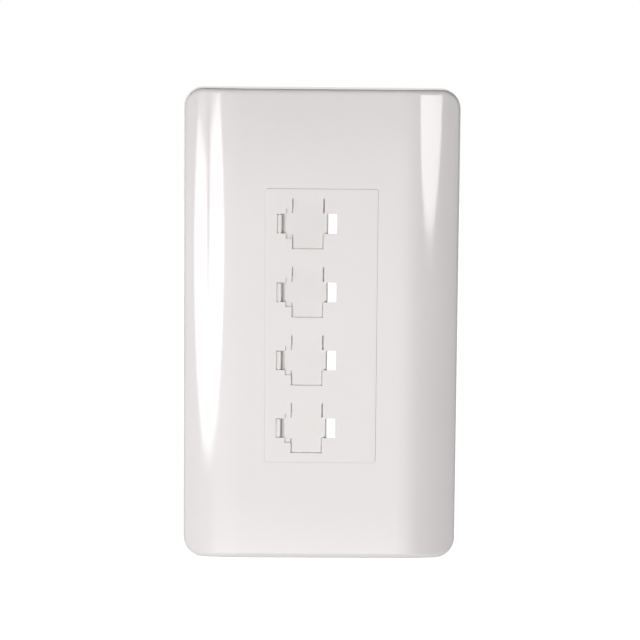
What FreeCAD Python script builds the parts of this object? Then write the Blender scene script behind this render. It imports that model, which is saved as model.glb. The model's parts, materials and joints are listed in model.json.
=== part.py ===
import FreeCAD, Part
import math
import os

# Four-port keystone faceplate, 120 type, with a clip-on cover and sprung shutters.
# X runs to the right, Z up, -Y out of the wall. The origin is the centre of the back,
# on the plane of the wall.

# ---- plate ----
PLATE_W = 70.0                      # width of the cover
PLATE_H = 120.0                     # height of the cover
PLATE_D = 9.0                       # wall to the flat of the cover
CORNER_R = 5.0                      # corners, seen from the front
SIDE_D = 5.0                        # depth left at the long edges, below the crown
ROLL_W = 15.0                       # width of each rolled side
DRAFT = 3.5                         # slope of the walls round the cover, in degrees
RIM_R = 1.3                         # rounding of the front rim
SHELL = 2.0                         # wall of the cover
SNAP_GAP = 0.3                      # running clearance of hooks and lids

# ---- insert with the ports ----
INSERT_W = 28.0
INSERT_MARGIN = 0.1                 # above the top port's share of the height, and below
INSERT_GAP = 0.08                   # line round the insert
INSERT_R = 0.6                      # its corners
EDGE_R = 0.12                       # softened edge on both sides of that line
FACE_T = 0.9                        # front wall of the insert
POCKET_WALL = 0.4                   # what is left of it where the shutters slide
SKIRT_T = 1.2                       # walls behind its edge
PORT_COUNT = 4
PORT_PITCH = 17.25
SNAP_PITCH = 22.0                   # between the snaps that hold the insert
INSERT_H = PORT_COUNT * PORT_PITCH + 2 * INSERT_MARGIN

# ---- plug opening, turned on its side: the latch points to the left ----
PLUG_X0 = -7.45                     # side of the plug's body
PLUG_X1 = 0.4                       # its other side
PLUG_H = 12.7                       # across the eight contacts
LATCH_X = -9.0                      # end of the wide latch step
LATCH_H = 7.4
PUSH_X = -11.2                      # end of the narrow slot where the shutter is pushed
PUSH_H = 4.9
RELEASE_X = 3.75                    # end of the slot that reaches the jack's lever
RELEASE_H = 5.0

# ---- shutters ----
SHUTTER_T = 1.4
SHUTTER_GAP = 0.08                  # behind the front wall, and at its stop
GUIDE_GAP = 0.15                    # above and below, against the guide ribs
SHUTTER_LAP = 0.8                   # how far a shutter reaches past the opening
EDGE_LAP = 0.5                      # and past its right side
GRIP_GAP = 0.2                      # round the finger grip in its slot
GRIP_T = 0.5                        # ridge of the grip
GROOVE_T = 1.0                      # groove behind the ridge
GROOVE_FLOOR = 0.5                  # flat at the bottom of the groove
GROOVE_RAMP = 1.0                   # slope from there up to the shutter's face
TAB_L = 0.7                         # tab in the release slot
TAB_BEVEL = 0.35                    # slope at the tab's end
TAB_GAP = 0.35                      # below the tab
TAB_STEP = 0.7                      # how far its foot lies behind its face
RIB_T = 0.8                         # guide ribs on the back of the insert
TRACK_LAP = 0.55                    # edge of a shutter that runs behind a rib's lip
LIP_T = 0.8                         # thickness of that lip

# ---- springs ----
COIL_R = 0.75                       # mean radius
WIRE_T = 0.28
COIL_TURNS = 10
COIL_GAP = 0.1                      # round the coil, in its channel
RAIL_T = 0.7                        # rails along a shutter, which also wall the channel
SPIGOT_R = 0.5                      # spigots inside the ends of a coil
SPIGOT_L = 1.4

# ---- keystone bays ----
BAY_W = 16.4                        # along X
BAY_H = 14.9                        # along Z
JACK_LATCH = 1.85                   # left end of a bay, out from the latch step
PANEL_T = 1.5                       # wall that the jacks grip
HOOK_ROOM = 1.2                     # behind that wall, for the fixed hook
LEVER_ROOM = 1.9                    # and for the lever at the other end
BAY_WALL = 1.3
BAY_DEPTH = 4.2                     # how far the sockets reach into the wall box
DECK_GAP = 0.1                      # between the carrier's deck and the insert's walls

# ---- mounting frame ----
FRAME_SIDE_GAP = 1.6                # inside the cover's long sides
FRAME_END_GAP = 0.45                # and inside its ends
FRAME_T = 2.2
FRAME_R = 4.0
WINDOW_SIDE_GAP = 0.85              # window of the frame round the block of sockets
WINDOW_END_GAP = 0.375
LEDGE_T = 1.0                       # ledges of the frame that hooks and snaps catch
FLANGE_LAP = 1.8                    # carrier's flange on the frame, round the window
SCREW_PITCH = 83.5
SCREW_SLOT_W = 4.2
SCREW_SLOT_L = 6.4
PAD_WALL = 1.4                      # raised pads round the screw slots
PAD_RISE = 1.0
STIFFENER_X = 22.5
STIFFENER_T = 1.2
STIFFENER_RISE = 1.8

# ---- hooks of the cover ----
HOOK_X = 15.0
HOOK_W = 8.0
HOOK_T = 1.2
HOOK_LIP = 0.7
HOOK_OFFSET = 4.0                   # outer face of a hook, in from the cover's edge
NIB_Z = 30.0                        # height of the nibs that centre the frame in the cover

# ---- places along X ----
BAY_X0 = LATCH_X - JACK_LATCH       # left end of the bays
SHUTTER_X1 = PLUG_X1 + EDGE_LAP     # right edge of a shutter
TAB_X = SHUTTER_X1 + TAB_L          # end of its tab
GRIP_X = PUSH_X + GRIP_GAP          # left end of its grip
GROOVE_X = GRIP_X + GRIP_T          # left end of the groove
SHUTTER_TRAVEL = PLUG_X1 - GRIP_X   # takes the grip clear of the plug opening

# ---- levels, along Y ----
FRONT_Y = -PLATE_D
FACE_Y = FRONT_Y + FACE_T           # back of the insert's front wall
POCKET_Y = FRONT_Y + POCKET_WALL    # back of the thin wall in front of a shutter
SHUTTER_Y = POCKET_Y + SHUTTER_GAP  # front of the shutters
PLATE_Y = SHUTTER_Y + SHUTTER_T     # back of a shutter's plate
FRAME_Y = -FRAME_T
FLANGE_T = 1.3
FLANGE_Y = FRAME_Y - FLANGE_T       # front of the carrier's flange
DECK_Y = FLANGE_Y - PANEL_T         # front of the carrier's deck
RAIL_Y = DECK_Y - SHUTTER_GAP       # back of a shutter's rails
LIP_Y = FLANGE_Y - 0.7              # back of the lip round the cover's window
TRACK_Y = PLATE_Y + SHUTTER_GAP     # front of the lips that carry the shutters

V = FreeCAD.Vector


def box(x0, x1, y0, y1, z0, z1):
    """A block between two corners."""
    return Part.makeBox(x1 - x0, y1 - y0, z1 - z0, V(x0, y0, z0))


def prism(points, y0, y1):
    """A polygon given as (x, z), from y0 to y1."""
    wire = Part.makePolygon([V(x, y0, z) for x, z in points + points[:1]])
    return Part.Face(wire).extrude(V(0, y1 - y0, 0))


def along_z(points, z0, z1):
    """A polygon given as (x, y), from z0 to z1."""
    wire = Part.makePolygon([V(x, y, z0) for x, y in points + points[:1]])
    return Part.Face(wire).extrude(V(0, 0, z1 - z0))


def slab(width, height, radius, y0, y1):
    """A rectangle with rounded corners, centred on the Y axis, from y0 to y1."""
    block = box(-width / 2, width / 2, y0, y1, -height / 2, height / 2)
    corners = [e for e in block.Edges if abs(e.tangentAt(e.FirstParameter).y) > 0.99]
    return block.makeFillet(radius, corners)


def obround(width, length, z, y0, y1):
    """A slot with round ends, along Z, centred at height z."""
    half = length / 2 - width / 2
    slot = box(-width / 2, width / 2, y0, y1, z - half, z + half)
    for end in (z - half, z + half):
        slot = slot.fuse(Part.makeCylinder(width / 2, y1 - y0, V(0, y0, end), V(0, 1, 0)))
    return slot.removeSplitter()


def port_heights():
    """Heights of the ports' centres, from the top port down."""
    top = (PORT_COUNT - 1) * PORT_PITCH / 2
    return [top - i * PORT_PITCH for i in range(PORT_COUNT)]


def crown_radius():
    """Radius that takes the long sides from the flat down to the side wall."""
    drop = PLATE_D - SIDE_D
    return (ROLL_W * ROLL_W + drop * drop) / (2 * drop)


def drafted_slab(width, height, radius):
    """A rounded rectangle on the wall, drafted inwards up to the front of the cover."""
    lean = PLATE_D * math.tan(math.radians(DRAFT))
    back = []
    front = []
    for sx, sz in ((1, 1), (-1, 1), (-1, -1), (1, -1)):
        back.append(V(sx * width / 2, 0, sz * height / 2))
        front.append(V(sx * (width / 2 - lean), FRONT_Y, sz * (height / 2 - lean)))
    wires = [Part.makePolygon(back + back[:1]), Part.makePolygon(front + front[:1])]
    block = Part.makeLoft(wires, True, True)
    corners = [e for e in block.Edges if abs(e.tangentAt(e.FirstParameter).y) > 0.9]
    return block.makeFillet(radius, corners)


def crowned(width, height, corner_r, inset):
    """The cover's outer form, or its hollow when inset by the wall."""
    radius = crown_radius() - inset
    centre_y = FRONT_Y + crown_radius()
    front = FRONT_Y + inset
    x_flat = PLATE_W / 2 - ROLL_W
    run = width / 2 - x_flat + 0.5
    edge_y = centre_y - math.sqrt(radius * radius - run * run)
    bulge = radius * math.sin(math.asin(run / radius) / 2)
    bulge_y = centre_y - math.sqrt(radius * radius - bulge * bulge)
    x_edge, z = x_flat + run, -height / 2 - 1
    flat = Part.makeLine(V(-x_flat, front, z), V(x_flat, front, z))
    right = Part.Arc(V(x_flat, front, z), V(x_flat + bulge, bulge_y, z), V(x_edge, edge_y, z))
    right_wall = Part.makeLine(V(x_edge, edge_y, z), V(x_edge, 1, z))
    back = Part.makeLine(V(x_edge, 1, z), V(-x_edge, 1, z))
    left_wall = Part.makeLine(V(-x_edge, 1, z), V(-x_edge, edge_y, z))
    left = Part.Arc(V(-x_edge, edge_y, z), V(-x_flat - bulge, bulge_y, z), V(-x_flat, front, z))
    section = Part.Wire([flat, right.toShape(), right_wall, back, left_wall, left.toShape()])
    body = Part.Face(section).extrude(V(0, 0, height + 2))
    return body.common(drafted_slab(width, height, corner_r))


def frame_size():
    """Width and height of the mounting frame, inside the cover."""
    width = PLATE_W - 2 * (SHELL + FRAME_SIDE_GAP)
    height = PLATE_H - 2 * (SHELL + FRAME_END_GAP)
    return width, height


def carrier_sides():
    """Left, right and top of the carrier's block of sockets."""
    left = BAY_X0 - HOOK_ROOM - BAY_WALL
    right = BAY_X0 + BAY_W + LEVER_ROOM + BAY_WALL
    return left, right, port_heights()[0] + BAY_H / 2 + BAY_WALL


def frame_window():
    """Width and height of the frame's window, round the block of sockets."""
    left, right, top = carrier_sides()
    return 2 * (max(-left, right) + WINDOW_SIDE_GAP), 2 * (top + WINDOW_END_GAP)


def rim_edges(body):
    """Edges between the crowned front and the walls round it."""
    found = []
    for edge in body.Edges:
        mid = edge.valueAt((edge.FirstParameter + edge.LastParameter) / 2)
        at_side = abs(mid.x) > PLATE_W / 2 - 1
        at_end = abs(mid.z) > PLATE_H / 2 - 1
        at_corner = abs(mid.x) > PLATE_W / 2 - CORNER_R and abs(mid.z) > PLATE_H / 2 - CORNER_R
        goes_back = abs(edge.tangentAt(edge.FirstParameter).y) > 0.9
        if mid.y < -0.01 and not goes_back and (at_side or at_end or at_corner):
            found.append(edge)
    return found


def window_edges(body, width, height):
    """Front edges of the cover's window, or of the insert that fills it."""
    found = []
    for edge in body.Edges:
        bounds = edge.BoundBox
        flat = bounds.YMax < FRONT_Y + 0.01
        reach_x = max(abs(bounds.XMin), abs(bounds.XMax))
        reach_z = max(abs(bounds.ZMin), abs(bounds.ZMax))
        inside = reach_x < width / 2 + 0.01 and reach_z < height / 2 + 0.01
        outer = reach_x > width / 2 - INSERT_R - 0.01 or reach_z > height / 2 - INSERT_R - 0.01
        if flat and inside and outer:
            found.append(edge)
    return found


def cover_hook(x, side):
    """A flexible hook that hangs from the cover and snaps behind the frame's ledge."""
    outer = PLATE_H / 2 - HOOK_OFFSET
    ledge_y = FRAME_Y + LEDGE_T + 0.05
    profile = [
        (outer - HOOK_T, FRONT_Y + SHELL - 0.2),
        (outer, FRONT_Y + SHELL - 0.2),
        (outer, ledge_y),
        (outer + HOOK_LIP, ledge_y),
        (outer + HOOK_LIP, ledge_y + 0.25),
        (outer - 0.3, -0.15),
        (outer - HOOK_T, -0.15),
    ]
    wire = Part.makePolygon([V(x - HOOK_W / 2, y, side * z) for z, y in profile + profile[:1]])
    hook = Part.Face(wire).extrude(V(HOOK_W, 0, 0))
    rib_z = sorted((side * (outer - HOOK_T + 0.1), side * (outer - HOOK_T - 2.2)))
    for rib_x in (x - HOOK_W / 2 + 1.0, x + HOOK_W / 2 - 1.8):
        rib = box(rib_x, rib_x + 0.8, FRONT_Y + SHELL - 0.2, FRONT_Y + SHELL + 1.8, *rib_z)
        hook = hook.fuse(rib)
    return hook


def cover_frame():
    """Glossy cover: crowned shell, window with its lip, hooks, locating nibs and pry notch."""
    body = crowned(PLATE_W, PLATE_H, CORNER_R, 0)
    body = body.makeFillet(RIM_R, rim_edges(body))
    body = body.cut(crowned(PLATE_W - 2 * SHELL, PLATE_H - 2 * SHELL, CORNER_R - SHELL, SHELL))
    window_w = INSERT_W + 2 * INSERT_GAP
    window_h = INSERT_H + 2 * INSERT_GAP
    lip = slab(window_w + 2 * SKIRT_T, window_h + 2 * SKIRT_T, 1.5, FRONT_Y + SHELL - 0.2, LIP_Y)
    body = body.fuse(lip)
    body = body.cut(slab(window_w, window_h, INSERT_R, FRONT_Y - 1, LIP_Y + 1))
    body = body.makeFillet(EDGE_R, window_edges(body, window_w, window_h))
    for side in (-1, 1):
        for x in (-HOOK_X, HOOK_X):
            body = body.fuse(cover_hook(x, side))
        for x_side in (-1, 1):
            nib = frame_size()[0] / 2 + 0.2
            x0, x1 = sorted((x_side * nib, x_side * (PLATE_W / 2 - SHELL + 0.1)))
            z = side * NIB_Z
            body = body.fuse(box(x0, x1, FRAME_Y + 0.9, -0.3, z - 0.5, z + 0.5))
    notch = box(-5, 5, -1.0, 0.5, -PLATE_H / 2 - 1, -PLATE_H / 2 + SHELL + 0.5)
    return body.cut(notch).removeSplitter()


def port_opening(z):
    """The stepped plug opening and its two slots, for one port."""
    plug, latch, push, release = PLUG_H / 2, LATCH_H / 2, PUSH_H / 2, RELEASE_H / 2
    outline = [
        (PLUG_X0, z - plug),
        (PLUG_X1, z - plug),
        (PLUG_X1, z - release),
        (RELEASE_X, z - release),
        (RELEASE_X, z + release),
        (PLUG_X1, z + release),
        (PLUG_X1, z + plug),
        (PLUG_X0, z + plug),
        (PLUG_X0, z + latch),
        (LATCH_X, z + latch),
        (LATCH_X, z + push),
        (PUSH_X, z + push),
        (PUSH_X, z - push),
        (LATCH_X, z - push),
        (LATCH_X, z - latch),
        (PLUG_X0, z - latch),
    ]
    return prism(outline, FRONT_Y - 1, POCKET_Y + 0.5)


def shutter_pocket(z):
    """Shallow pocket in the back of the front wall, in which one shutter slides."""
    half = shutter_half_height() + GUIDE_GAP
    return box(GRIP_X - 0.3, skirt_inside(), POCKET_Y, FACE_Y + 0.1, z - half, z + half)


def tab_span(z):
    """Lowest and highest point of a shutter's tab, its foot included."""
    return z - RELEASE_H / 2 - 0.6, z + RELEASE_H / 2 + 0.2


def tab_room(z):
    """Hollow in the skirt for the tab of a shutter that is open."""
    tab0, tab1 = tab_span(z)
    x1 = open_x() + TAB_L + 0.1
    return box(open_x(), x1, POCKET_Y, TRACK_Y, tab0 - 0.2, tab1 + 0.2)


def open_x():
    """Right edge of a shutter's plate when it is fully open."""
    return SHUTTER_X1 + SHUTTER_TRAVEL


def shutter_half_height():
    return PLUG_H / 2 + SHUTTER_LAP


def rail_top():
    """Outer face of a shutter's rails, inside the edge that runs in the track."""
    return shutter_half_height() - TRACK_LAP


def stop_x():
    """Left end of a shutter's plate, which rests on the stops of the insert."""
    return PLUG_X0 - SHUTTER_LAP - 0.3


def skirt_inside():
    return INSERT_W / 2 - SKIRT_T


def coil_outer():
    return COIL_R + WIRE_T / 2


def coil_height():
    """Height of a spring's axis above the middle of its port."""
    return rail_top() - RAIL_T - COIL_GAP - coil_outer()


def coil_y():
    """Depth of a spring's axis: the coil just clears the carrier's deck."""
    return DECK_Y - 0.35 - coil_outer()


def coil_x0():
    """Left end of a spring, on the end wall of its channel."""
    return stop_x() + RAIL_T + 0.05


def coil_x1():
    """Right end of a spring, on the wall of the insert."""
    return skirt_inside() - 0.05


def spigot(x, length, z):
    """A peg inside the end of a spring."""
    return Part.makeCylinder(SPIGOT_R, length, V(x, coil_y(), z + coil_height()), V(1, 0, 0))


def guides(z):
    """Lipped ribs above and below one shutter, its stops, and the peg for its spring."""
    inner = shutter_half_height() + GUIDE_GAP
    wall = skirt_inside() + 0.1
    stop = stop_x() - SHUTTER_GAP
    open_stop = open_x() + 0.05
    stop_back = coil_y() - coil_outer() - COIL_GAP
    front = POCKET_Y - 0.1
    shapes = [spigot(skirt_inside() - SPIGOT_L, SPIGOT_L + 0.1, z)]
    for side in (-1, 1):
        z0, z1 = sorted((z + side * inner, z + side * (inner + RIB_T)))
        shapes.append(box(-wall, wall, front, DECK_Y, z0, z1))
        lip = shutter_half_height() - TRACK_LAP + GUIDE_GAP
        z0, z1 = sorted((z + side * lip, z + side * (inner + 0.1)))
        shapes.append(box(stop - 0.1, wall, TRACK_Y, TRACK_Y + LIP_T, z0, z1))
        z0, z1 = sorted((z + side * (LATCH_H / 2 + 0.9), z + side * (inner + 0.1)))
        shapes.append(box(-wall, stop, front, TRACK_Y + LIP_T, z0, z1))
        z0, z1 = sorted((z + side * (RELEASE_H / 2 + 0.9), z + side * (inner + 0.1)))
        shapes.append(box(open_stop, wall, front, stop_back, z0, z1))
    return shapes


def snap_heights():
    """Heights of the snaps between the insert and the carrier."""
    return (-SNAP_PITCH, 0, SNAP_PITCH)


def port_fascia():
    """Insert seen in the cover's window: thin front wall, skirt, guide ribs and openings."""
    body = slab(INSERT_W, INSERT_H, INSERT_R, FRONT_Y, FLANGE_Y)
    hollow_w = INSERT_W - 2 * SKIRT_T
    hollow_h = INSERT_H - 2 * SKIRT_T
    body = body.cut(slab(hollow_w, hollow_h, 0.4, FACE_Y, FLANGE_Y + 1))
    body = body.makeFillet(EDGE_R, window_edges(body, INSERT_W, INSERT_H))
    for z in port_heights():
        body = body.cut(shutter_pocket(z))
        body = body.fuse(guides(z))
        body = body.cut([port_opening(z), tab_room(z)])
    snap_y = (DECK_Y + FLANGE_Y) / 2
    for z in snap_heights():
        body = body.cut(box(-INSERT_W, INSERT_W, snap_y - 0.5, snap_y + 0.5, z - 2.7, z + 2.7))
    return body.removeSplitter()


def shutter(z):
    """Sprung shutter: plate with a finger grip and a tab, rails and a spring channel."""
    half = shutter_half_height()
    left = stop_x()
    plate = box(left, SHUTTER_X1, SHUTTER_Y, PLATE_Y, z - half, z + half)
    nose_h = LATCH_H / 2 + 0.4
    floor_y = SHUTTER_Y + GROOVE_T
    nose_profile = [
        (left + 0.5, SHUTTER_Y),
        (GROOVE_X + GROOVE_FLOOR + GROOVE_RAMP, SHUTTER_Y),
        (GROOVE_X + GROOVE_FLOOR, floor_y),
        (GROOVE_X, floor_y),
        (GROOVE_X, PLATE_Y),
        (left + 0.5, PLATE_Y),
    ]
    nose = along_z(nose_profile, z - nose_h, z + nose_h)
    grip_profile = [
        (GRIP_X, SHUTTER_Y),
        (GROOVE_X, SHUTTER_Y),
        (GROOVE_X, floor_y),
        (GROOVE_X + 0.2, floor_y),
        (GROOVE_X + 0.2, PLATE_Y),
        (GRIP_X, PLATE_Y),
    ]
    grip_h = PUSH_H / 2 - GRIP_GAP
    grip = along_z(grip_profile, z - grip_h, z + grip_h)
    tab_profile = [
        (SHUTTER_X1 - 0.5, SHUTTER_Y),
        (TAB_X - TAB_BEVEL, SHUTTER_Y),
        (TAB_X, SHUTTER_Y + TAB_BEVEL),
        (TAB_X, PLATE_Y),
        (SHUTTER_X1 - 0.5, PLATE_Y),
    ]
    tab0, tab1 = tab_span(z)
    tab = along_z(tab_profile, z - RELEASE_H / 2 + TAB_GAP, tab1)
    foot_y = SHUTTER_Y + TAB_STEP
    tab_foot = box(SHUTTER_X1 - 0.5, TAB_X, foot_y, PLATE_Y, tab0, z - RELEASE_H / 2 + 1)
    outer = rail_top()
    top = box(left, SHUTTER_X1, PLATE_Y - 0.1, RAIL_Y, z + outer - RAIL_T, z + outer)
    foot = box(left, SHUTTER_X1, PLATE_Y - 0.1, RAIL_Y, z - outer, z - outer + RAIL_T)
    inner_z = z + coil_height() - coil_outer() - COIL_GAP
    rail = box(left, SHUTTER_X1, PLATE_Y - 0.1, RAIL_Y, inner_z - RAIL_T, inner_z)
    end = box(left, left + RAIL_T, PLATE_Y - 0.1, RAIL_Y, inner_z - RAIL_T, z + outer)
    body = plate.fuse([nose, grip, tab, tab_foot, top, foot, rail, end])
    groove_y = coil_y() - coil_outer() - COIL_GAP
    groove = box(left + RAIL_T, SHUTTER_X1 + 1, groove_y, RAIL_Y, inner_z, z + outer - RAIL_T)
    body = body.cut(groove)
    return body.fuse(spigot(left + RAIL_T - 0.1, SPIGOT_L - 0.3, z)).removeSplitter()


def shutter_spring(z):
    """Light compression spring that closes a shutter."""
    length = coil_x1() - coil_x0() - WIRE_T
    path = Part.makeHelix(length / COIL_TURNS, length, COIL_R)
    half = WIRE_T / 2
    corners = [(-half, -half), (half, -half), (half, half), (-half, half), (-half, -half)]
    section = Part.makePolygon([V(COIL_R + a, 0, b) for a, b in corners])
    coil = Part.Wire(path.Edges).makePipeShell([section], True, True)
    coil.rotate(V(0, 0, 0), V(0, 1, 0), 90)
    coil.translate(V(coil_x0() + half, coil_y(), z + coil_height()))
    return coil


def bay(z):
    """Room for one keystone jack: the panel's opening, and the socket behind it."""
    half = BAY_H / 2
    x0, x1 = BAY_X0, BAY_X0 + BAY_W
    rear0, rear1 = x0 - HOOK_ROOM, x1 + LEVER_ROOM
    opening = box(x0, x1, DECK_Y - 1, FLANGE_Y + 0.1, z - half, z + half)
    socket = box(rear0, rear1, FLANGE_Y, BAY_DEPTH + 1, z - half, z + half)
    mouth = [
        V(rear0, BAY_DEPTH - 1.2, z - half),
        V(rear0 - 0.7, BAY_DEPTH + 0.2, z - half),
        V(rear1 + 0.7, BAY_DEPTH + 0.2, z - half),
        V(rear1, BAY_DEPTH - 1.2, z - half),
    ]
    lead_in = Part.Face(Part.makePolygon(mouth + mouth[:1])).extrude(V(0, 0, 2 * half))
    return opening.fuse([socket, lead_in])


def keystone_carrier():
    """Carrier behind the insert: deck, flange, four keystone sockets, gussets and snaps."""
    left, right, top = carrier_sides()
    window_w, window_h = frame_window()
    flange_w = window_w + 2 * FLANGE_LAP
    flange_h = window_h + 2 * FLANGE_LAP
    body = slab(flange_w, flange_h, 1.5, FLANGE_Y, FRAME_Y)
    deck_w = INSERT_W - 2 * SKIRT_T - 2 * DECK_GAP
    deck_h = INSERT_H - 2 * SKIRT_T - 2 * DECK_GAP
    body = body.fuse(slab(deck_w, deck_h, 0.4, DECK_Y, FLANGE_Y + 0.1))
    body = body.fuse(box(left, right, FLANGE_Y, BAY_DEPTH, -top, top))
    snap_y = (DECK_Y + FLANGE_Y) / 2
    for z in snap_heights():
        reach = deck_w / 2 + 0.55
        body = body.fuse(box(-reach, reach, snap_y - 0.35, snap_y + 0.35, z - 2.4, z + 2.4))
    catch_y = FRAME_Y + LEDGE_T + 0.05
    for side in (-1, 1):
        for x in (left + 4, right - 4):
            z0, z1 = sorted((side * (top - 0.1), side * (window_h / 2 + 0.6)))
            body = body.fuse(box(x - 3, x + 3, catch_y, catch_y + 0.9, z0, z1))
    for z in [h + side * BAY_H / 2 for h in port_heights() for side in (-1, 1)]:
        z_mid = z + math.copysign(0.6, z)
        gusset = [
            V(right - 0.1, FRAME_Y - 0.1, z_mid - 0.5),
            V(window_w / 2 - 1.2, FRAME_Y - 0.1, z_mid - 0.5),
            V(right - 0.1, 2.2, z_mid - 0.5),
        ]
        rib = Part.Face(Part.makePolygon(gusset + gusset[:1])).extrude(V(0, 0, 1.0))
        body = body.fuse(rib)
    for z in port_heights():
        body = body.cut(bay(z))
    return body.removeSplitter()


def mounting_frame():
    """Frame that is screwed to the wall box: window, screw slots, ribs and hook ledges."""
    width, height = frame_size()
    window_w, window_h = frame_window()
    body = slab(width, height, FRAME_R, FRAME_Y, 0)
    stiffener_h = height - 16
    for side in (-1, 1):
        x0, x1 = sorted((side * STIFFENER_X, side * (STIFFENER_X - STIFFENER_T)))
        y0 = FRAME_Y - STIFFENER_RISE
        body = body.fuse(box(x0, x1, y0, FRAME_Y + 0.1, -stiffener_h / 2, stiffener_h / 2))
        pad_w = SCREW_SLOT_W + 2 * PAD_WALL
        pad_l = SCREW_SLOT_L + 2 * PAD_WALL
        screw_z = side * SCREW_PITCH / 2
        body = body.fuse(obround(pad_w, pad_l, screw_z, FRAME_Y - PAD_RISE, FRAME_Y + 0.1))
    for side in (-1, 1):
        slot = obround(SCREW_SLOT_W, SCREW_SLOT_L, side * SCREW_PITCH / 2, FRAME_Y - 3, 1)
        body = body.cut(slot)
    body = body.cut(slab(window_w, window_h, 0.8, FRAME_Y - 1, 1))
    left, right, _ = carrier_sides()
    outer = PLATE_H / 2 - HOOK_OFFSET
    for side in (-1, 1):
        for x in (left + 4, right - 4):
            z0, z1 = sorted((side * (window_h / 2 - 1), side * (window_h / 2 + 0.9)))
            body = body.cut(box(x - 3.3, x + 3.3, FRAME_Y + LEDGE_T, 1, z0, z1))
        for x in (-HOOK_X, HOOK_X):
            x0 = x - HOOK_W / 2 - SNAP_GAP
            x1 = x + HOOK_W / 2 + SNAP_GAP
            z0, z1 = sorted((side * (outer - HOOK_T - 0.8), side * (outer + SNAP_GAP)))
            body = body.cut(box(x0, x1, FRAME_Y - 1, 1, z0, z1))
            z0, z1 = sorted((side * outer, side * (outer + HOOK_LIP + SNAP_GAP)))
            body = body.cut(box(x0, x1, FRAME_Y + LEDGE_T, 1, z0, z1))
    return body.removeSplitter()


def write(name, shape):
    """One STEP file for one piece."""
    if not shape.isValid() or shape.Volume <= 0:
        raise RuntimeError(name + " is not a valid solid")
    shape.exportStep(os.path.join("parts", name + ".step"))


def main():
    os.makedirs("parts", exist_ok=True)
    write("cover_frame", cover_frame())
    write("port_fascia", port_fascia())
    write("keystone_carrier", keystone_carrier())
    write("mounting_frame", mounting_frame())
    for number, z in enumerate(port_heights(), 1):
        write("shutter_%d" % number, shutter(z))
        write("shutter_spring_%d" % number, shutter_spring(z))


main()
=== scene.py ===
import json
import math

import bpy
from bpy.props import FloatProperty, FloatVectorProperty, IntProperty, PointerProperty
from bpy.types import Operator, Panel, PropertyGroup
from mathutils import Matrix, Quaternion, Vector

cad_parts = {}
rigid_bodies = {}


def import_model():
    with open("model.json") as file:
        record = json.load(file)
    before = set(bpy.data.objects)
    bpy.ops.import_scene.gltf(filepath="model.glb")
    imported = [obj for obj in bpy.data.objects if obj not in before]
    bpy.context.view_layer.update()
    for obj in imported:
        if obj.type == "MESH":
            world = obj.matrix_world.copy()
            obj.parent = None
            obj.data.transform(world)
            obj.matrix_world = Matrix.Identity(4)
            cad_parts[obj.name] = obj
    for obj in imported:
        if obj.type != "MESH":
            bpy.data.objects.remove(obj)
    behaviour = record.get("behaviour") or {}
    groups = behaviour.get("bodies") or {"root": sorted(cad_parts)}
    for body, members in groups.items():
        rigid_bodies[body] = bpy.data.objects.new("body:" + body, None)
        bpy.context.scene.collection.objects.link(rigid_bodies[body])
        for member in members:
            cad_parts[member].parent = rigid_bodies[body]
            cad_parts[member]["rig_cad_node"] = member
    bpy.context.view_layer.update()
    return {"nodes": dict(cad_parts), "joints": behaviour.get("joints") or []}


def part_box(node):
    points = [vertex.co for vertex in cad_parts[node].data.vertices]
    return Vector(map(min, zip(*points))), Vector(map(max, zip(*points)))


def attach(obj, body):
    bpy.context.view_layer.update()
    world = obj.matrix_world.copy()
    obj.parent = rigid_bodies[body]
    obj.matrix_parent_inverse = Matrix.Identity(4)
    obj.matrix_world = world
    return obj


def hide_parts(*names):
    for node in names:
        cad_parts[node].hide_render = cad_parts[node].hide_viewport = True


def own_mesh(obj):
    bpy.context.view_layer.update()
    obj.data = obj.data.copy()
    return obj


bl_info = {
    "name": "Keystone faceplate",
    "version": (1, 0, 0),
    "blender": (4, 5, 0),
    "location": "View3D > Sidebar > Faceplate",
    "description": "Finishes, shutter springs and studio for a four-port keystone faceplate",
    "category": "Object",
}

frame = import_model()
NODES = frame["nodes"]
TRAVEL = {joint["name"]: joint["range_m"][1] for joint in frame["joints"]}
PORTS = ("1", "2", "3", "4")
MM = 0.001

# Fine forms of the visible faces, in millimetres. A depth is from the face, a height from the
# middle of a port, and a place along X from the edge that is named.
LINE_FILL = (1.0040, 1, 1.0016)     # widens the insert, to narrow the line round it
FILL_DEPTH = 0.045                  # fill of that line at the left and at the bottom
FILL_BACK = 0.3
FILL_REACH = 0.2                    # to both sides of the insert's edge
CORNER_CLEAR = 0.1                  # where the bottom fill stops short of the corners
GROOVE_DEPTH = 0.5
UPPER_GROOVE = (-0.1, 0.26)         # at the opening's right side, above the tab
UPPER_HEIGHTS = (2.62, 6.3)
LIP_HEIGHTS = (2.8, 6.3)            # the same groove in the lip of the insert
LOWER_GROOVE = (-0.15, 0.03)        # at the opening's right side, below the tab
LOWER_HEIGHTS = (-6.3, -2.7)
LEFT_GROOVE = (-0.12, 0.12)         # at the opening's left side
LEFT_HEIGHTS = ((2.7, 6.3), (-6.3, -2.7))
OPENING_LEFT = 3.6                  # that side, from the left end of a shutter
RIDGE = (-0.14, 0.86)               # grip ridge, from the left end of a shutter
RIDGE_RISE = 0.44
RIDGE_HEIGHTS = (-2.25, 2.25)
ROOT = 0.3                          # how far a shape that starts at a face goes into the piece

# Strips of light low in front of the plate: where each starts and is full, and its strength.
FRONT_GLOW = ((0.01, -0.06, 3.35), (-0.05, -0.15, 0.6), (-0.195, -0.225, 4.0))

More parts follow.
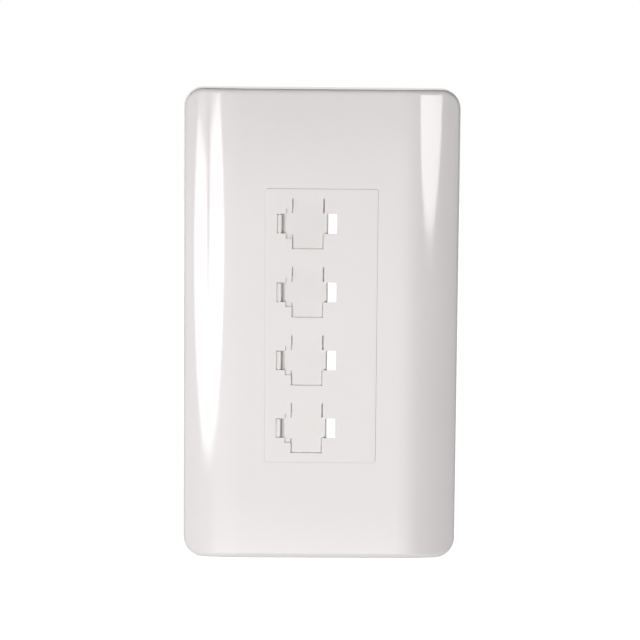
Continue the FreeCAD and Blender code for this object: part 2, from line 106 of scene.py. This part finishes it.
# Places are in metres from the middle of the plate's back.
LEFT_LIGHT = {"place": (-0.587, -0.833, -0.056), "aim": (-0.028, -0.008, 0.013),
              "width": 0.55, "height": 0.286}
RIGHT_LIGHT = {"place": (0.541, -0.866, 0.061), "aim": (0.027, -0.008, 0.060),
               "width": 0.38, "height": 0.206}
SCRIMS = (
    {"place": (-0.581, -0.807, 0.0196), "width": 0.072, "height": 0.121, "density": 0.78},
    {"place": (-0.6287, -0.7896, 0.0529), "width": 0.338, "height": 0.040, "density": 0.80},
)
CAMERA_PLACE = Vector((-0.009468, -0.557573, 0.059620))
CAMERA_AIM = Vector((-0.000298, -0.009, 0.001670))
CAMERA_ROLL = 0.00877
CAMERA_LENS = 123.154               # millimetres, on a 36 mm sensor


# ---------------------------------------------------------------- sizes and colours

class FaceplateFinish(PropertyGroup):
    """Colours and gloss of the moulded pieces and the springs."""

    cover_colour: FloatVectorProperty(
        name="Cover colour", description="Moulded white of the cover and the insert",
        subtype="COLOR", size=3, min=0, max=1, default=(0.800, 0.769, 0.764))
    cover_roughness: FloatProperty(
        name="Cover roughness", description="Polish of the cover's face",
        subtype="FACTOR", min=0, max=1, default=0.07)
    shutter_colour: FloatVectorProperty(
        name="Shutter colour", description="White of the four shutters",
        subtype="COLOR", size=3, min=0, max=1, default=(0.800, 0.770, 0.760))
    chassis_colour: FloatVectorProperty(
        name="Chassis colour", description="Satin white of the carrier and the mounting frame",
        subtype="COLOR", size=3, min=0, max=1, default=(0.760, 0.745, 0.725))
    spring_colour: FloatVectorProperty(
        name="Spring colour", description="Bright drawn spring steel",
        subtype="COLOR", size=3, min=0, max=1, default=(0.56, 0.55, 0.53))


class FaceplateSpring(PropertyGroup):
    """Sizes of a shutter spring."""

    wire: FloatProperty(
        name="Wire", description="Thickness of the wire",
        subtype="DISTANCE", unit="LENGTH", default=0.28 * MM)
    working_turns: IntProperty(
        name="Working turns", description="Open turns between the two closed ends",
        min=2, max=20, default=8)
    wire_sides: IntProperty(
        name="Wire sides", description="Facets round the wire", min=6, max=24, default=10)
    turn_steps: IntProperty(
        name="Steps a turn", description="Facets along one turn", min=12, max=64, default=28)


class FaceplateStudio(PropertyGroup):
    """Lamps, floor and camera."""

    left_power: FloatProperty(
        name="Left light", description="Radiant power of the tall oval light on the left",
        subtype="POWER", unit="POWER", default=2.8)
    right_power: FloatProperty(
        name="Right light", description="Radiant power of the oval light on the right",
        subtype="POWER", unit="POWER", default=1.45)
    floor_drop: FloatProperty(
        name="Floor drop", description="Height from the plate's middle down to the floor",
        subtype="DISTANCE", unit="LENGTH", default=0.36)


# ---------------------------------------------------------------- modelling helpers

def select_none():
    """Leaves nothing selected, so that an operator only acts on what comes next."""
    if bpy.context.object is not None and bpy.context.object.mode != "OBJECT":
        bpy.ops.object.mode_set(mode="OBJECT")
    bpy.ops.object.select_all(action="DESELECT")


def pick(piece):
    """Selects that piece alone."""
    select_none()
    bpy.context.view_layer.objects.active = piece
    piece.select_set(True)


def apply_modifiers(piece):
    """Makes every modifier of the piece part of its mesh."""
    pick(piece)
    for modifier in list(piece.modifiers):
        bpy.ops.object.modifier_apply(modifier=modifier.name)


def settle(piece):
    """Moves the piece's place into its mesh, so that its object sits at the origin."""
    pick(piece)
    bpy.ops.object.transform_apply(location=True, rotation=True, scale=True)


def merged_copy(node, name):
    """A copy of a built piece, with its loose triangles joined up."""
    pick(NODES[node])
    bpy.ops.object.duplicate()
    piece = bpy.context.object
    del piece["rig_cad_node"]
    bpy.ops.object.parent_clear(type="CLEAR_KEEP_TRANSFORM")
    settle(piece)
    bpy.ops.object.mode_set(mode="EDIT")
    bpy.ops.mesh.select_all(action="SELECT")
    bpy.ops.mesh.remove_doubles(threshold=0.000001)
    bpy.ops.mesh.customdata_custom_splitnormals_clear()
    bpy.ops.object.mode_set(mode="OBJECT")
    piece.name = name
    piece.data.name = name
    return piece


def combine(piece, operation, x, y, z):
    """Adds a block to the piece (UNION) or cuts it away (DIFFERENCE). Ranges in millimetres."""
    low, high = (Vector(corner) * MM for corner in zip(x, y, z))
    select_none()
    bpy.ops.mesh.primitive_cube_add(size=1, location=(low + high) / 2)
    tool = bpy.context.object
    tool.scale = high - low
    settle(tool)
    change = piece.modifiers.new(operation.lower(), "BOOLEAN")
    change.operation = operation
    change.solver = "EXACT"
    change.object = tool
    apply_modifiers(piece)
    pick(tool)
    bpy.ops.object.delete()


def span(start, reach):
    """A range that is given from a start."""
    return start + reach[0], start + reach[1]


def box_mm(node):
    """The two corners of a built piece's box, in millimetres."""
    low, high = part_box(node)
    return Vector(low) / MM, Vector(high) / MM


def stand_in(piece, node, body):
    """The piece takes the place of a built piece on its body."""
    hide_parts(node)
    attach(piece, body)


# ---------------------------------------------------------------- finishes

class Finish:
    """A procedural finish that is built node by node on Object coordinates."""

    def __init__(self, name):
        self.material = bpy.data.materials.new(name)
        self.material.use_nodes = True
        self.tree = self.material.node_tree
        self.shader = self.tree.nodes["Principled BSDF"]
        self.place = self.add("ShaderNodeTexCoord").outputs["Object"]

    def add(self, kind, **values):
        node = self.tree.nodes.new(kind)
        for key, value in values.items():
            setattr(node, key, value)
        return node

    def link(self, source, target):
        self.tree.links.new(source, target)

    def noise(self, scale, detail, roughness):
        """Noise with that many bumps a metre."""
        node = self.add("ShaderNodeTexNoise")
        node.inputs["Scale"].default_value = scale
        node.inputs["Detail"].default_value = detail
        node.inputs["Roughness"].default_value = roughness
        self.link(self.place, node.inputs["Vector"])
        return node.outputs["Fac"]

    def spread(self, source, low, high):
        """Spreads a pattern between two values."""
        node = self.add("ShaderNodeMapRange")
        node.inputs["From Min"].default_value = 0.3
        node.inputs["From Max"].default_value = 0.7
        node.inputs["To Min"].default_value = low
        node.inputs["To Max"].default_value = high
        self.link(source, node.inputs["Value"])
        return node.outputs["Result"]

    def tint(self, colour, source, depth):
        """Colour that varies by that share over the pattern."""
        ramp = self.add("ShaderNodeValToRGB")
        low = [c * (1 - depth) for c in colour]
        high = [min(1, c * (1 + depth)) for c in colour]
        ramp.color_ramp.elements[0].position = 0.3
        ramp.color_ramp.elements[1].position = 0.7
        ramp.color_ramp.elements[0].color = (*low, 1)
        ramp.color_ramp.elements[1].color = (*high, 1)
        self.link(source, ramp.inputs["Fac"])
        self.link(ramp.outputs["Color"], self.shader.inputs["Base Color"])

    def relief(self, source, height, base=None):
        """Bump of that height in metres."""
        bump = self.add("ShaderNodeBump")
        bump.inputs["Strength"].default_value = 1.0
        bump.inputs["Distance"].default_value = height
        self.link(source, bump.inputs["Height"])
        if base is not None:
            self.link(base, bump.inputs["Normal"])
        self.link(bump.outputs["Normal"], self.shader.inputs["Normal"])
        return bump.outputs["Normal"]

    def soft_edges(self, radius):
        """Edges that catch the light as a moulded edge of that radius does."""
        bevel = self.add("ShaderNodeBevel", samples=4)
        bevel.inputs["Radius"].default_value = radius
        return bevel.outputs["Normal"]


def polished_white(name, colour, roughness):
    """Glossy moulded plastic: faint mottling, slight waves from the mould, fine haze."""
    finish = Finish(name)
    finish.tint(colour, finish.noise(55, 3, 0.55), 0.008)
    finish.link(finish.spread(finish.noise(420, 4, 0.6), roughness * 0.8, roughness * 1.3),
                finish.shader.inputs["Roughness"])
    waves = finish.relief(finish.noise(90, 1.5, 0.4), 0.000012)
    finish.relief(finish.noise(2600, 2, 0.5), 0.0000006, waves)
    finish.shader.inputs["IOR"].default_value = 1.5
    return finish.material


def satin_white(name, colour, roughness, grain, depth):
    """Spark-eroded moulded plastic: fine even grain, slight mottling."""
    finish = Finish(name)
    finish.tint(colour, finish.noise(70, 3, 0.55), 0.015)
    finish.link(finish.spread(finish.noise(900, 3, 0.6), roughness * 0.88, roughness * 1.12),
                finish.shader.inputs["Roughness"])
    edges = finish.soft_edges(0.00015)
    finish.relief(finish.noise(grain, 3, 0.6), depth, edges)
    finish.shader.inputs["IOR"].default_value = 1.5
    return finish.material


def drawn_steel(name, colour):
    """Drawn spring wire: lines along the wire, slight heat tint."""
    finish = Finish(name)
    finish.tint(colour, finish.noise(600, 3, 0.6), 0.10)
    finish.link(finish.spread(finish.noise(5200, 3, 0.6), 0.22, 0.38),
                finish.shader.inputs["Roughness"])
    finish.relief(finish.noise(9000, 2, 0.5), 0.000004)
    finish.shader.inputs["Metallic"].default_value = 1.0
    return finish.material


def put_on(piece, material):
    """The piece wears that finish alone."""
    piece.data.materials.clear()
    piece.data.materials.append(material)


# ---------------------------------------------------------------- pieces

def opening(number):
    """Front of a port's shutter, right side of its opening and middle of its height."""
    low, high = box_mm("shutter_" + number)
    edge = low.x + TRAVEL["shutter_%s_slide" % number] / MM
    return low.y, edge, (low.z + high.z) / 2


def port_insert(finish):
    """The insert with a narrow line round it and a relief in the lip of each opening."""
    low, high = box_mm("port_fascia")
    insert = merged_copy("port_fascia", "insert")
    insert.scale = LINE_FILL
    settle(insert)
    for port in PORTS:
        edge, middle = opening(port)[1:]
        combine(insert, "DIFFERENCE", span(edge, UPPER_GROOVE),
                (low.y - 0.1, low.y + GROOVE_DEPTH), span(middle, LIP_HEIGHTS))
    depth = (low.y + FILL_DEPTH, low.y + FILL_BACK)
    reach = (-FILL_REACH, FILL_REACH)
    combine(insert, "UNION", span(low.x, reach), depth, (low.z, high.z))
    combine(insert, "UNION", (low.x + CORNER_CLEAR, high.x - CORNER_CLEAR), depth,
            span(low.z, reach))
    pick(insert)
    bpy.ops.object.shade_smooth_by_angle(angle=math.radians(3))
    put_on(insert, finish)
    stand_in(insert, "port_fascia", "plate")


class FACEPLATE_OT_cover(Operator):
    """Polished white on the cover and on the insert in its window"""

    bl_idname = "faceplate.cover"
    bl_label = "Cover and insert"

    def execute(self, context):
        look = context.scene.faceplate_finish
        white = polished_white("gloss_white", look.cover_colour, look.cover_roughness)
        put_on(NODES["cover_frame"], white)
        port_insert(white)
        return {"FINISHED"}


class FACEPLATE_OT_chassis(Operator):
    """Satin white on the carrier and the mounting frame"""

    bl_idname = "faceplate.chassis"
    bl_label = "Carrier and mounting frame"

    def execute(self, context):
        look = context.scene.faceplate_finish
        white = satin_white("satin_white", look.chassis_colour,
                            roughness=0.42, grain=5200, depth=0.02 * MM)
        put_on(NODES["keystone_carrier"], white)
        put_on(NODES["mounting_frame"], white)
        return {"FINISHED"}


def shutter_face(number, finish):
    """A shutter with its raised grip ridge and the relief grooves beside the opening."""
    node = "shutter_" + number
    left = box_mm(node)[0].x
    face, edge, middle = opening(number)
    front = face - GROOVE_DEPTH
    piece = merged_copy(node, "shutter_face_" + number)
    combine(piece, "UNION", span(left, RIDGE),
            (face - RIDGE_RISE, face + ROOT), span(middle, RIDGE_HEIGHTS))
    combine(piece, "DIFFERENCE", span(edge, UPPER_GROOVE),
            (front, face + 2 * GROOVE_DEPTH), span(middle, UPPER_HEIGHTS))
    combine(piece, "DIFFERENCE", span(edge, LOWER_GROOVE),
            (front, face + ROOT), span(middle, LOWER_HEIGHTS))
    for heights in LEFT_HEIGHTS:
        combine(piece, "DIFFERENCE", span(left + OPENING_LEFT, LEFT_GROOVE),
                (front, face + GROOVE_DEPTH), span(middle, heights))
    pick(piece)
    bpy.ops.object.shade_smooth_by_angle(angle=math.radians(8))
    put_on(piece, finish)
    stand_in(piece, node, "shutter_%s_slider" % number)


class FACEPLATE_OT_shutters(Operator):
    """Half-gloss white on the four shutters"""

    bl_idname = "faceplate.shutters"
    bl_label = "Shutters"

    def execute(self, context):
        look = context.scene.faceplate_finish
        white = satin_white("shutter_white", look.shutter_colour,
                            roughness=0.22, grain=3600, depth=0.006 * MM)
        for port in PORTS:
            shutter_face(port, white)
        return {"FINISHED"}


def coil_span(x, turns, pitch, axis, radius, size):
    """A run of turns from x on, made by a screw of a small circle round the coil's axis."""
    select_none()
    bpy.ops.mesh.primitive_circle_add(
        vertices=size.wire_sides, radius=size.wire / 2,
        location=(x, axis.y, axis.z + radius), rotation=(math.pi / 2, 0, 0))
    run = bpy.context.object
    bpy.context.scene.cursor.location = (x, axis.y, axis.z)
    bpy.ops.object.origin_set(type="ORIGIN_CURSOR")
    bpy.ops.object.transform_apply(location=False, rotation=True, scale=True)
    screw = run.modifiers.new("turns", "SCREW")
    screw.axis = "X"
    screw.angle = math.tau
    screw.screw_offset = pitch
    screw.iterations = turns
    screw.steps = size.turn_steps
    screw.render_steps = size.turn_steps
    screw.use_merge_vertices = False
    apply_modifiers(run)
    settle(run)
    return run


def shutter_coil(number, size, finish):
    """One compression spring with closed ends, in its channel behind a shutter."""
    low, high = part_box("shutter_spring_" + number)
    axis = Vector((0, (low.y + high.y) / 2, (low.z + high.z) / 2))
    radius = (high.z - low.z) / 2 - size.wire / 2 - 0.02 * MM
    closed = size.wire * 1.04
    x0 = low.x + size.wire / 2 + 0.01 * MM
    x1 = high.x - size.wire / 2 - 0.01 * MM
    open_run = x1 - x0 - 2 * closed
    pitch = open_run / size.working_turns
    runs = [
        coil_span(x0, 1, closed, axis, radius, size),
        coil_span(x0 + closed, size.working_turns, pitch, axis, radius, size),
        coil_span(x1 - closed, 1, closed, axis, radius, size),
    ]
    select_none()
    for run in runs:
        run.select_set(True)
    coil = runs[0]
    bpy.context.view_layer.objects.active = coil
    bpy.ops.object.join()
    bpy.ops.object.mode_set(mode="EDIT")
    bpy.ops.mesh.select_all(action="SELECT")
    bpy.ops.mesh.remove_doubles(threshold=0.00002)
    bpy.ops.mesh.fill_holes(sides=0)
    bpy.ops.mesh.normals_make_consistent(inside=False)
    bpy.ops.object.mode_set(mode="OBJECT")
    bpy.ops.object.shade_smooth_by_angle(angle=math.radians(50))
    coil.name = "coil_" + number
    coil.data.name = coil.name
    put_on(coil, finish)
    stand_in(coil, "shutter_spring_" + number, "plate")
    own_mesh(coil)


class FACEPLATE_OT_springs(Operator):
    """Four round-wire coils in place of the plain spring solids"""

    bl_idname = "faceplate.springs"
    bl_label = "Shutter springs"

    def execute(self, context):
        size = context.scene.faceplate_spring
        steel = drawn_steel("spring_steel", context.scene.faceplate_finish.spring_colour)
        for port in PORTS:
            shutter_coil(port, size, steel)
        return {"FINISHED"}


# ---------------------------------------------------------------- studio

def either(tree, a, b):
    """The larger of two values."""
    node = tree.nodes.new("ShaderNodeMath")
    node.operation = "MAXIMUM"
    tree.links.new(a, node.inputs[0])
    tree.links.new(b, node.inputs[1])
    return node.outputs[0]


class Room:
    """Arithmetic on the direction in which a ray leaves for the room."""

    def __init__(self, tree):
        self.tree = tree
        coordinates = tree.nodes.new("ShaderNodeTexCoord")
        split = tree.nodes.new("ShaderNodeSeparateXYZ")
        tree.links.new(coordinates.outputs["Generated"], split.inputs[0])
        self.x, self.y, self.z = split.outputs

    def put(self, socket, value):
        if isinstance(value, (int, float)):
            socket.default_value = value
        else:
            self.tree.links.new(value, socket)

    def math(self, operation, a, b=0.0):
        node = self.tree.nodes.new("ShaderNodeMath")
        node.operation = operation
        self.put(node.inputs[0], a)
        self.put(node.inputs[1], b)
        return node.outputs[0]

    def product(self, first, *others):
        for other in others:
            first = self.math("MULTIPLY", first, other)
        return first

    def total(self, first, *others):
        for other in others:
            first = self.math("ADD", first, other)
        return first

    def step(self, value, low, high):
        """Goes smoothly from 0 at low to 1 at high."""
        node = self.tree.nodes.new("ShaderNodeMapRange")
        node.interpolation_type = "SMOOTHSTEP"
        self.put(node.inputs["Value"], value)
        node.inputs["From Min"].default_value = low
        node.inputs["From Max"].default_value = high
        return node.outputs["Result"]

    def lobe(self, azimuth, elevation, strength, power):
        """A soft glow round a direction, as a large diffuser gives."""
        a, e = math.radians(azimuth), math.radians(elevation)
        along = self.total(
            self.product(self.x, math.sin(a) * math.cos(e)),
            self.product(self.y, -math.cos(a) * math.cos(e)),
            self.product(self.z, math.sin(e)))
        along = self.math("MAXIMUM", along, 0.0)
        return self.product(self.math("POWER", along, power), strength)


def room_light(at):
    """Light from each direction: glows in front and on the left, soft light above and behind."""
    above_floor = at.step(at.z, -0.42, -0.30)
    ahead = at.product(at.step(at.x, 0.45, -0.05), at.step(at.x, -0.75, -0.35),
                       at.step(at.y, -0.1, -0.6), above_floor)
    level = at.total(at.lobe(-8, 38, 0.165, 2), at.lobe(-62, -4, 0.26, 4))
    for start, full, strength in FRONT_GLOW:
        level = at.total(level, at.product(at.step(at.z, start, full), strength, ahead))
    left = at.product(at.step(at.x, -0.50, -0.70), at.step(at.z, 0.0, -0.08), above_floor, 1.9)
    overhead = at.product(at.step(at.z, 0.75, 0.95), 0.25)
    behind = at.product(at.step(at.y, 0.80, 0.97), 2.2)
    return at.total(level, left, overhead, behind, 0.052)


def soft_room(scene):
    """A white backdrop behind the plate, in a room that is bright in front and on the left."""
    world = bpy.data.worlds.new("studio_room")
    world.use_nodes = True
    scene.world = world
    tree = world.node_tree
    tree.nodes.clear()
    link = tree.links.new
    at = Room(tree)
    room = tree.nodes.new("ShaderNodeBackground")
    link(room_light(at), room.inputs["Strength"])
    white = tree.nodes.new("ShaderNodeBackground")
    white.inputs["Color"].default_value = (1, 1, 1, 1)
    path = tree.nodes.new("ShaderNodeLightPath")
    backdrop = at.product(path.outputs["Is Glossy Ray"],
                          at.step(at.y, 0.0, 0.35), at.step(at.z, 0.50, 0.24))
    seen = either(tree, path.outputs["Is Camera Ray"], path.outputs["Is Transmission Ray"])
    mix = tree.nodes.new("ShaderNodeMixShader")
    link(either(tree, seen, backdrop), mix.inputs["Fac"])
    link(room.outputs[0], mix.inputs[1])
    link(white.outputs[0], mix.inputs[2])
    out = tree.nodes.new("ShaderNodeOutputWorld")
    link(mix.outputs[0], out.inputs["Surface"])


def pale_floor(drop):
    """A plain pale floor, well below the plate."""
    select_none()
    bpy.ops.mesh.primitive_plane_add(size=8, location=(0, 3.5, -drop))
    floor = bpy.context.object
    floor.name = "floor"
    settle(floor)
    material = bpy.data.materials.new("pale_floor")
    material.use_nodes = True
    tree = material.node_tree
    tree.nodes.clear()
    matt = tree.nodes.new("ShaderNodeBsdfDiffuse")
    matt.inputs["Color"].default_value = (0.8, 0.8, 0.8, 1)
    glow = tree.nodes.new("ShaderNodeEmission")
    glow.inputs["Strength"].default_value = 0.94
    both = tree.nodes.new("ShaderNodeAddShader")
    mix = tree.nodes.new("ShaderNodeMixShader")
    out = tree.nodes.new("ShaderNodeOutputMaterial")
    link = tree.links.new
    link(matt.outputs[0], both.inputs[0])
    link(glow.outputs[0], both.inputs[1])
    path = tree.nodes.new("ShaderNodeLightPath")
    seen = either(tree, path.outputs["Is Camera Ray"], path.outputs["Is Glossy Ray"])
    link(either(tree, seen, path.outputs["Is Transmission Ray"]), mix.inputs["Fac"])
    link(matt.outputs[0], mix.inputs[1])
    link(both.outputs[0], mix.inputs[2])
    link(mix.outputs[0], out.inputs["Surface"])
    put_on(floor, material)


def oval_light(name, place, aim, width, height, power):
    """A flat oval light at a place, turned to face what it is aimed at."""
    bpy.ops.object.light_add(type="AREA", location=place)
    lamp = bpy.context.object
    lamp.name = name
    lamp.rotation_mode = "QUATERNION"
    lamp.rotation_quaternion = (Vector(place) - Vector(aim)).to_track_quat("Z", "Y")
    lamp.data.shape = "ELLIPSE"
    lamp.data.size = width
    lamp.data.size_y = height
    lamp.data.energy = power
    return lamp


def thin_scrim(place, width, height, density):
    """A piece of thin black net, tapering down, in front of the top of the left light."""
    select_none()
    bpy.ops.mesh.primitive_circle_add(vertices=3, radius=1, fill_type="NGON")
    scrim = bpy.context.object
    scrim.name = "scrim"
    scrim.scale = (width, height, 1)
    scrim.rotation_mode = "QUATERNION"
    facing = Vector(place).to_track_quat("Z", "Y")
    scrim.rotation_quaternion = facing @ Quaternion((0, 0, 1), math.pi)
    scrim.location = place
    settle(scrim)
    scrim.visible_camera = False
    net = bpy.data.materials.new("black_net")
    net.use_nodes = True
    shader = net.node_tree.nodes["Principled BSDF"]
    shader.inputs["Base Color"].default_value = (0.02, 0.02, 0.02, 1)
    shader.inputs["Alpha"].default_value = density
    put_on(scrim, net)


def plate_camera(scene):
    """The camera: a little above the plate's middle, looking at its face."""
    along = (CAMERA_AIM - CAMERA_PLACE).normalized()
    right = along.cross(Vector((0, 0, 1))).normalized()
    up = right.cross(along)
    turned_right = right * math.cos(CAMERA_ROLL) + up * math.sin(CAMERA_ROLL)
    turned_up = up * math.cos(CAMERA_ROLL) - right * math.sin(CAMERA_ROLL)
    data = bpy.data.cameras.new("camera")
    data.sensor_width = 36
    data.lens = CAMERA_LENS
    data.clip_start = 0.01
    data.clip_end = 50
    camera = bpy.data.objects.new("camera", data)
    scene.collection.objects.link(camera)
    rotation = Matrix((turned_right, turned_up, -along)).transposed()
    camera.matrix_world = Matrix.Translation(CAMERA_PLACE) @ rotation.to_4x4()
    scene.camera = camera


class FACEPLATE_OT_studio(Operator):
    """Floor, room, two oval lights and the camera"""

    bl_idname = "faceplate.studio"
    bl_label = "Studio"

    def execute(self, context):
        scene = context.scene
        studio = scene.faceplate_studio
        soft_room(scene)
        pale_floor(studio.floor_drop)
        select_none()
        oval_light("left_light", power=studio.left_power, **LEFT_LIGHT)
        oval_light("right_light", power=studio.right_power, **RIGHT_LIGHT)
        for scrim in SCRIMS:
            thin_scrim(**scrim)
        plate_camera(scene)
        scene.view_settings.view_transform = "Standard"
        return {"FINISHED"}


class FACEPLATE_PT_panel(Panel):
    """Lists the pieces of the faceplate and its studio."""

    bl_idname = "FACEPLATE_PT_panel"
    bl_label = "Keystone faceplate"
    bl_space_type = "VIEW_3D"
    bl_region_type = "UI"
    bl_category = "Faceplate"

    def draw(self, context):
        for group in ("finish", "spring", "studio"):
            values = getattr(context.scene, "faceplate_" + group)
            for name in values.bl_rna.properties.keys():
                if name not in ("rna_type", "name"):
                    self.layout.prop(values, name)
        for operator in OPERATORS:
            self.layout.operator(operator.bl_idname)


GROUPS = {"finish": FaceplateFinish, "spring": FaceplateSpring, "studio": FaceplateStudio}
OPERATORS = (
    FACEPLATE_OT_cover,
    FACEPLATE_OT_chassis,
    FACEPLATE_OT_shutters,
    FACEPLATE_OT_springs,
    FACEPLATE_OT_studio,
)


def register():
    for cls in (*GROUPS.values(), *OPERATORS, FACEPLATE_PT_panel):
        bpy.utils.register_class(cls)
    for name, cls in GROUPS.items():
        setattr(bpy.types.Scene, "faceplate_" + name, PointerProperty(type=cls))


def unregister():
    for name in GROUPS:
        delattr(bpy.types.Scene, "faceplate_" + name)
    for cls in (FACEPLATE_PT_panel, *reversed(OPERATORS), *reversed(GROUPS.values())):
        bpy.utils.unregister_class(cls)


def main():
    register()
    for operator in OPERATORS:
        group, name = operator.bl_idname.split(".")
        getattr(getattr(bpy.ops, group), name)()


if __name__ == "__main__":
    main()
